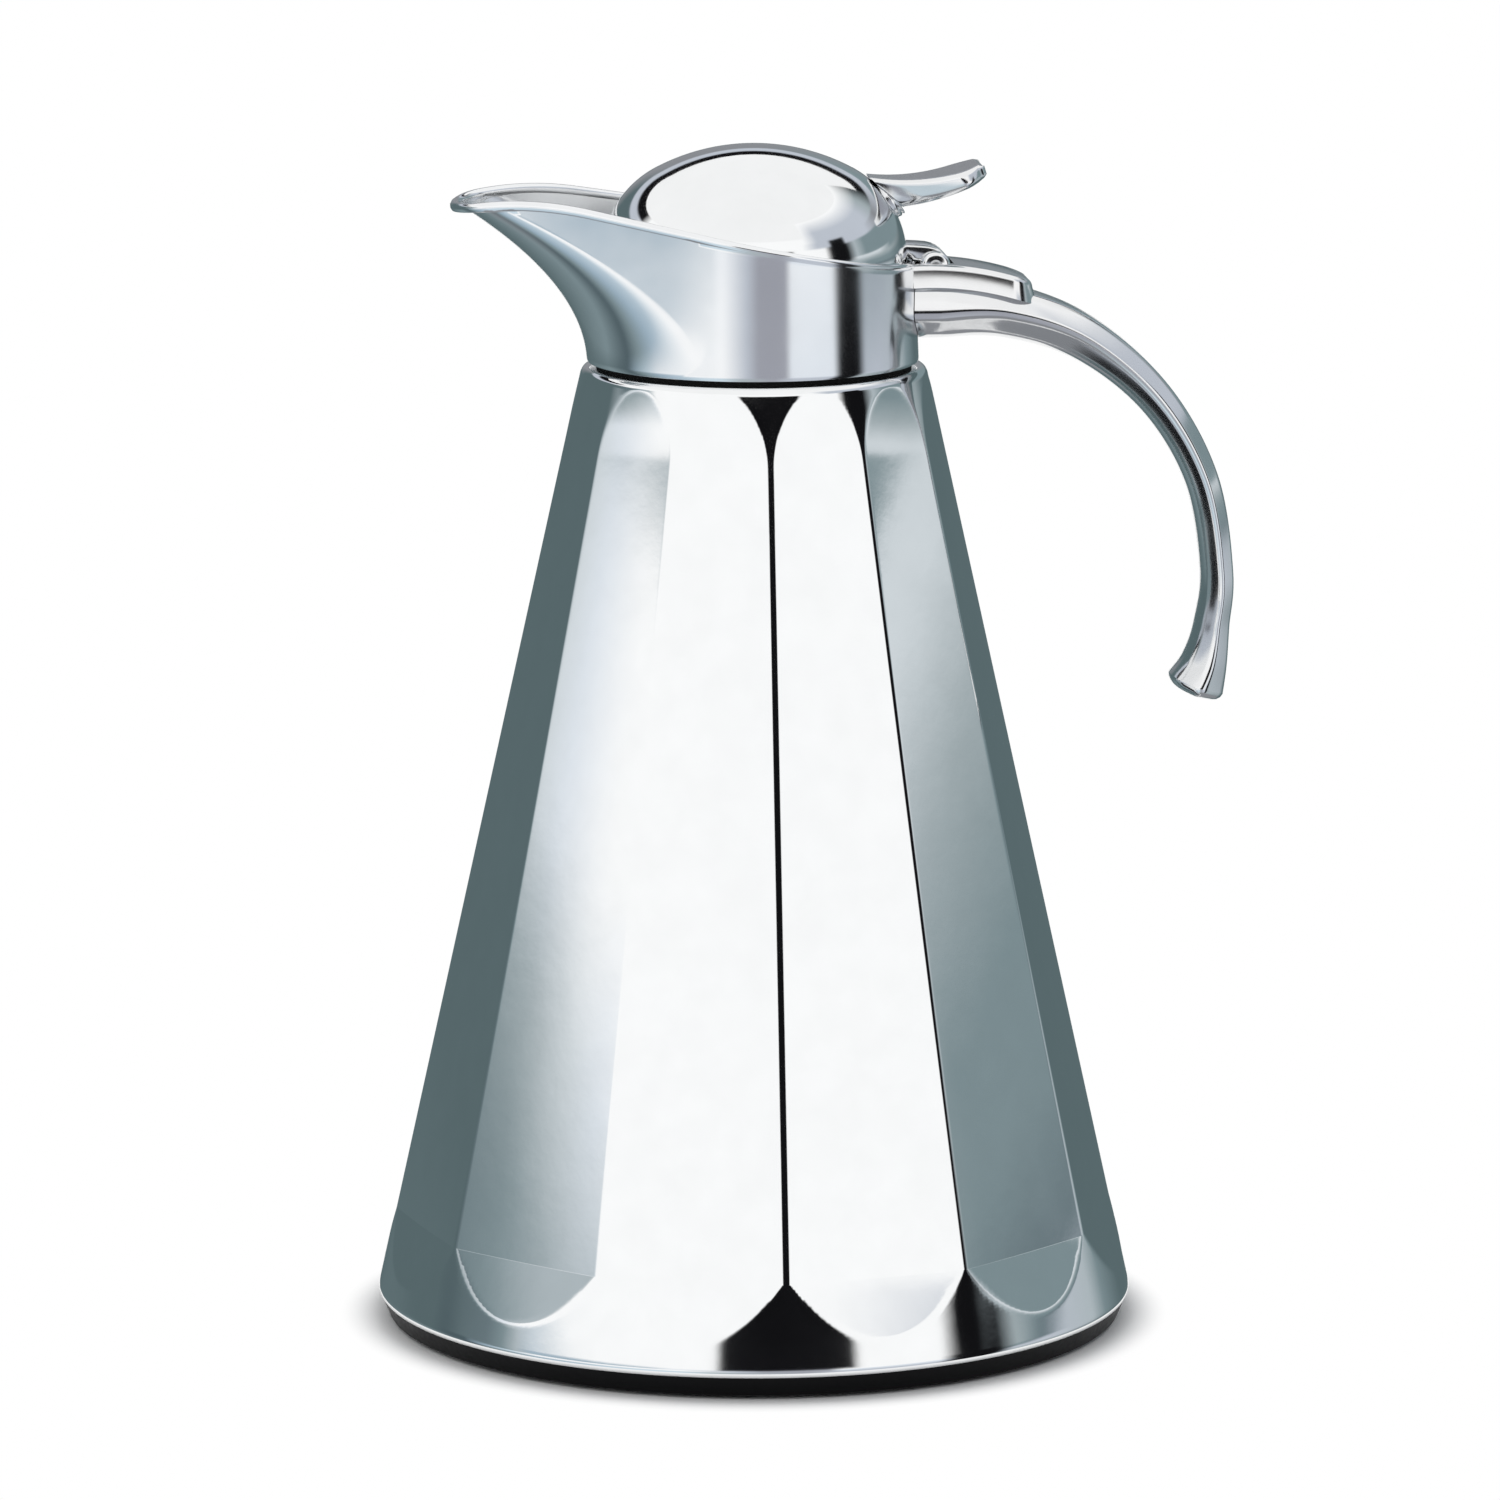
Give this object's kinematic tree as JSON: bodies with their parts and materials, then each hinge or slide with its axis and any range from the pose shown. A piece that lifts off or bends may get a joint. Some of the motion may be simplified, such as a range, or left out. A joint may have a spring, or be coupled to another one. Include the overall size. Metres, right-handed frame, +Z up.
{
  "type": "coffee pot",
  "caption": "Insulated faceted steel coffee pot with a broad pouring lip, a curved open-ended handle and a hinged dome lid with a thumb lever.",
  "frame": {"origin": "centre of the base, on the table", "axes": "+Z up the pot, -X towards the pouring lip, +X towards the handle, +Y across"},
  "size_m": [0.1718, 0.1506, 0.2369],
  "materials": {
    "polished_steel": "mirror polished stainless steel",
    "polished_casting": "polished casting",
    "brushed_steel": "plain brushed steel",
    "black_plastic": "fine satin",
    "black_rubber": "matt"
  },
  "bodies": {
    "pot": {"outer_shell": "polished_steel", "inner_flask": "brushed_steel", "bottom_plate": "brushed_steel", "vacuum_seal": "brushed_steel", "getter_capsule": "brushed_steel", "base_cover": "black_plastic", "foot_pad": "black_rubber", "neck_seal": "black_rubber", "spout_collar": "polished_steel", "neck_nut": "brushed_steel", "handle": "polished_casting", "handle_screws": "brushed_steel", "hinge_pin": "brushed_steel"},
    "lid": {"lid_dome": "polished_steel", "hinge_leaf": "polished_casting", "thumb_lever": "polished_casting", "lever_ferrule": "polished_casting", "lever_screw": "brushed_steel", "lid_liner": "black_plastic", "stopper": "black_plastic", "stopper_seal": "black_rubber", "lid_stud": "brushed_steel", "stopper_nut": "brushed_steel"}
  },
  "joints": [
    {"name": "lid_hinge", "type": "hinge", "parent": "pot", "child": "lid", "pos_m": [0.0356, 0, 0.213], "axis": [0, 1, 0], "range_deg": [0, 60]}
  ]
}
